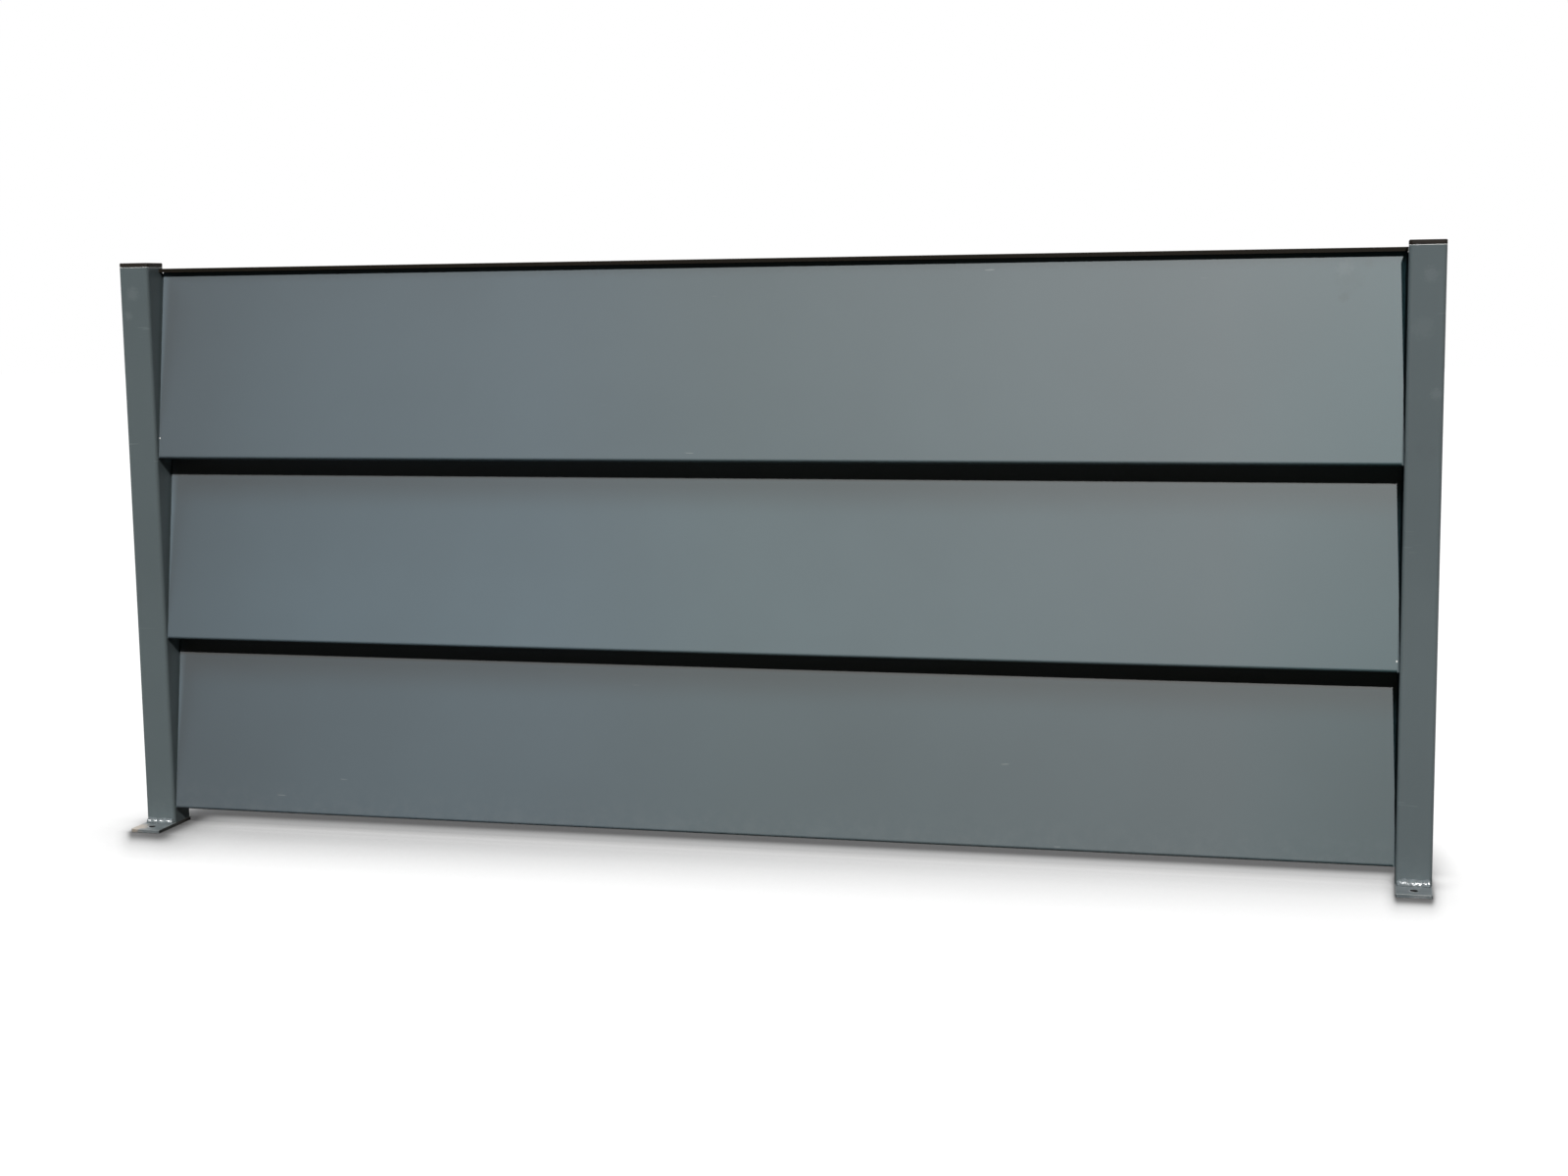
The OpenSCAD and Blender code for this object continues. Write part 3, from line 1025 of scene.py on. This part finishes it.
# Short beads hold each cleat's rear edge on its post.
def makeCleatWelds(side):
    shape = bmesh.new()
    dice = random.Random(cleatBead["seed"])
    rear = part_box("post_" + side)[1].y - cleatSize["inset"]
    for level in levels:
        place = cleatPlace(level, side)
        for start, end in cleatBead["spans"]:
            shift = dice.uniform(0, 1)
            total = end - start

            def sizeAt(along, across):
                return cleatBead["leg"] * max(taperAt(along, total, cleatBead["taper"]), thinnestEnd)

            def rippleAt(along, across):
                middle = arch(across)
                phase = (along * total - cleatBead["rippleLag"] * middle) / cleatBead["ripplePitch"]
                phase += shift
                lift = cleatBead["bulge"] * middle + rippleLift(phase, cleatBead["rippleDepth"], middle)
                return lift * taperAt(along, total, cleatBead["taper"])

            steps = cleatBeadSteps(place, rear, start, end)
            addBead(shape, steps, sizeAt, rippleAt, cleatBead["around"])
    finishPiece("cleat_beads_" + side, shape, weldCoat)


for side in sides:
    makeFasteners(side)
    makeCleatWelds(side)
print("cleat fasteners and welds made")


cameraView = {
    "place": (1.8706, -3.2115, 0.8417),
    "turn": 14.52,               # degrees towards the left post
    "tip": -7.51,                # degrees below level
    "roll": -0.79,
    "lens": 51.6,
    "sensor": 36.0,
}


def makeCamera(view):
    data = bpy.data.cameras.new("Camera")
    data.sensor_fit = "HORIZONTAL"
    data.sensor_width = view["sensor"]
    data.lens = view["lens"]
    camera = addObject("Camera", data)
    turn = Matrix.Rotation(math.radians(view["turn"]), 4, "Z")
    tip = Matrix.Rotation(math.radians(90 + view["tip"]), 4, "X")
    roll = Matrix.Rotation(math.radians(view["roll"]), 4, "Z")
    camera.matrix_world = Matrix.Translation(view["place"]) @ turn @ tip @ roll
    bpy.context.scene.camera = camera


# Angles are in degrees: around is from the fence's front towards the right, lift is above level.
keyLamp = {
    "around": 14.5, "lift": 37.6, "angle": 1.2, "strength": 2.55, "colour": (1.0, 0.985, 0.96),
    "onColour": True, "onGloss": True,
}
lamps = {
    "keyLamp": keyLamp,
    "sheenLamp": dict(keyLamp, strength=9.4, colour=(1.0, 1.0, 1.0), onColour=False),
    "softLamp": {                # stands for open shade, with no glint
        "around": -50, "lift": 50, "angle": 24, "strength": 1.2, "colour": (0.94, 0.97, 1.0),
        "onColour": True, "onGloss": False,
    },
    "backLamp": {
        "around": 200, "lift": 58, "angle": 30, "strength": 2.0, "colour": (1.0, 1.0, 1.0),
        "onColour": True, "onGloss": True,
    },
}
lampDistance = 6.0


def makeLamp(name, lamp):
    data = bpy.data.lights.new(name, "SUN")
    data.energy = lamp["strength"]
    data.angle = math.radians(lamp["angle"])
    data.color = lamp["colour"]
    around, lift = math.radians(lamp["around"]), math.radians(lamp["lift"])
    level = math.cos(lift)
    towards = Vector((math.sin(around) * level, -math.cos(around) * level, math.sin(lift)))
    light = addObject(name, data)
    light.rotation_euler = towards.to_track_quat("Z", "Y").to_euler()
    light.location = towards * lampDistance
    light.visible_diffuse = lamp["onColour"]
    light.visible_glossy = lamp["onGloss"]


# The eye meets plain white; shiny surfaces meet it where the backdrop would stand, behind the fence.
def seenWhite(tree, depth, near, far):
    path = tree.nodes.new("ShaderNodeLightPath").outputs
    glossy = product(tree, path["Is Glossy Ray"], mapRange(tree, depth, near, far))
    seen = mathNode(tree, "MAXIMUM", path["Is Camera Ray"], glossy)
    return mathNode(tree, "MAXIMUM", seen, path["Is Transmission Ray"])


# Depth is the part of a ray's direction that runs to the rear.
fillLight = {"colour": colour(0.90, 0.95, 1.0), "strength": 0.045, "whiteFrom": -0.05, "whiteTo": 0.25}


def makeWorld(fill):
    world = bpy.data.worlds.new("Studio")
    tree = clearTree(world)
    ray = tree.nodes.new("ShaderNodeTexCoord").outputs["Generated"]
    white = seenWhite(tree, axisOf(tree, ray, "Y"), fill["whiteFrom"], fill["whiteTo"])
    dim = addNode(tree, "ShaderNodeBackground", {"Color": fill["colour"], "Strength": fill["strength"]})
    pale = addNode(tree, "ShaderNodeBackground", {"Color": plainWhite, "Strength": 1.0})
    mixed = addNode(tree, "ShaderNodeMixShader", {0: white, 1: dim.outputs[0], 2: pale.outputs[0]})
    addNode(tree, "ShaderNodeOutputWorld", {"Surface": mixed.outputs[0]})
    bpy.context.scene.world = world


floorLook = {
    "half": 20.0,
    "below": 0.0002,             # under the base plates
    "colour": colour(0.135, 0.135, 0.135),
    "glow": 0.93,                # plain white, so that shadows stay pale
    "bounce": colour(0.04, 0.036, 0.03),
    "whiteFrom": 0.0, "whiteTo": 0.3,    # depth behind the posts' axes
}


# Openness to the sky within the reach, and how strongly it darkens at two places along the fence.
nearLook = {
    "reach": 0.28, "samples": 16, "from": 0.60, "to": 1.0, "tone": 0.50,
    "leftAt": 0.2, "left": 1.15, "rightAt": 1.85, "right": 0.55,
}


# Shade near the fence from its hiding the sky, which is stronger towards the left post.
def nearShade(tree, place, look):
    openness = addNode(tree, "ShaderNodeAmbientOcclusion", {"Distance": look["reach"]},
                       samples=look["samples"])
    dark = mapRange(tree, openness.outputs["AO"], look["to"], look["from"], 0.0, 1 - look["tone"], "LINEAR")
    gain = mapRange(tree, axisOf(tree, place, "X"), look["leftAt"], look["rightAt"], look["left"],
                    look["right"], "LINEAR")
    return mathNode(tree, "SUBTRACT", 1.0, product(tree, dark, gain))


footLook = {
    "reach": {"left": 0.17, "right": 0.12},
    "lean": {"left": 0.55, "right": -0.02},      # to the right, over the distance ahead
    "inset": 0.004,
    "sides": {"left": (5.0, 1.6), "right": (5.0, 5.0)},      # how much faster it ends to each side
    "stops": [                   # tone at shares of the reach
        (0.0, 0.05), (0.11, 0.07), (0.18, 0.20), (0.27, 0.50), (0.36, 0.70), (0.46, 0.82), (0.7, 0.94),
        (1.0, 1.0),
    ],
}


# Soft shade on the floor round one base plate, longest in front of it.
def footShade(tree, place, side, look):
    low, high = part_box("base_plate_" + side)
    ahead = mathNode(tree, "MAXIMUM", mathNode(tree, "SUBTRACT", low.y, axisOf(tree, place, "Y")), 0.0)
    shift = addNode(tree, "ShaderNodeCombineXYZ", {"X": product(tree, ahead, look["lean"][side])}).outputs[0]
    place = vectorMath(tree, "SUBTRACT", place, shift)[0]
    toLeft, toRight = look["sides"][side]
    nearEnd = (low.x + look["inset"], low.y, 0)
    farEnd = (high.x - look["inset"], high.y, 0)
    outside = (0, 0, 0)
    for first, second, faster in ((nearEnd, place, toLeft), (place, farEnd, toRight)):
        past = vectorMath(tree, "SUBTRACT", first, second)[0]
        past = vectorMath(tree, "MULTIPLY", past, (faster, 1, 0))[0]
        outside = vectorMath(tree, "MAXIMUM", past, outside)[0]
    distance = vectorMath(tree, "LENGTH", outside)["Value"]
    return toneRamp(tree, mathNode(tree, "DIVIDE", distance, look["reach"][side]), look["stops"])


rearLook = {
    "front": -0.10, "rear": 0.10,        # between these the tone follows the stops
    "far": 0.34,                 # where it has faded out
    "ends": 0.05,
    "stops": [
        (0.0, 1.0), (0.20, 0.96), (0.325, 0.88), (0.425, 0.77), (0.55, 0.71), (0.625, 0.71), (0.675, 0.67),
        (0.715, 0.56), (0.76, 0.39), (0.80, 0.22), (0.835, 0.105), (0.875, 0.094), (1.0, 0.094),
    ],
}


# Soft shade under and behind the slats, where they hide the light from the front.
def rearShade(tree, place, look):
    along, across = axisOf(tree, place, "X"), axisOf(tree, place, "Y")
    depth = mathNode(tree, "SUBTRACT", across, look["front"])
    tone = toneRamp(tree, mathNode(tree, "DIVIDE", depth, look["rear"] - look["front"]), look["stops"])
    fades = mapRange(tree, across, look["far"], look["rear"])
    left = mapRange(tree, along, cadBox[0].x - look["ends"], cadBox[0].x + look["ends"])
    right = mapRange(tree, along, cadBox[1].x + look["ends"], cadBox[1].x - look["ends"])
    cover = product(tree, left, right, fades)
    return mapRange(tree, cover, 0.0, 1.0, 1.0, tone, "LINEAR")


def makeFloor(look):
    half = look["half"]
    mesh = bpy.data.meshes.new("floor")
    corners = [(-half, -half, 0), (half, -half, 0), (half, half, 0), (-half, half, 0)]
    mesh.from_pydata(corners, [], [(0, 1, 2, 3)])
    floor = addObject("floor", mesh)
    floor.location.z = cadBox[0].z - look["below"]
    material, tree = newMaterial("Floor")
    place = tree.nodes.new("ShaderNodeNewGeometry").outputs["Position"]
    feet = [footShade(tree, place, side, footLook) for side in sides]
    lit = product(tree, nearShade(tree, place, nearLook), rearShade(tree, place, rearLook), *feet)
    pale = addNode(tree, "ShaderNodeBsdfDiffuse", {"Color": look["colour"]})
    glow = addNode(tree, "ShaderNodeEmission", {
        "Color": plainWhite, "Strength": product(tree, lit, look["glow"]),
    })
    shown = addNode(tree, "ShaderNodeAddShader", {0: pale.outputs[0], 1: glow.outputs[0]})
    bounce = addNode(tree, "ShaderNodeBsdfDiffuse", {"Color": look["bounce"]})
    white = seenWhite(tree, axisOf(tree, place, "Y"), look["whiteFrom"], look["whiteTo"])
    whole = addNode(tree, "ShaderNodeMixShader", {0: white, 1: bounce.outputs[0], 2: shown.outputs[0]})
    addNode(tree, "ShaderNodeOutputMaterial", {"Surface": whole.outputs[0]})
    mesh.materials.append(material)


makeCamera(cameraView)
for name, lamp in lamps.items():
    makeLamp(name, lamp)
makeWorld(fillLight)
makeFloor(floorLook)
bpy.context.scene.view_settings.view_transform = "Standard"
print("camera, lamps and floor ready")
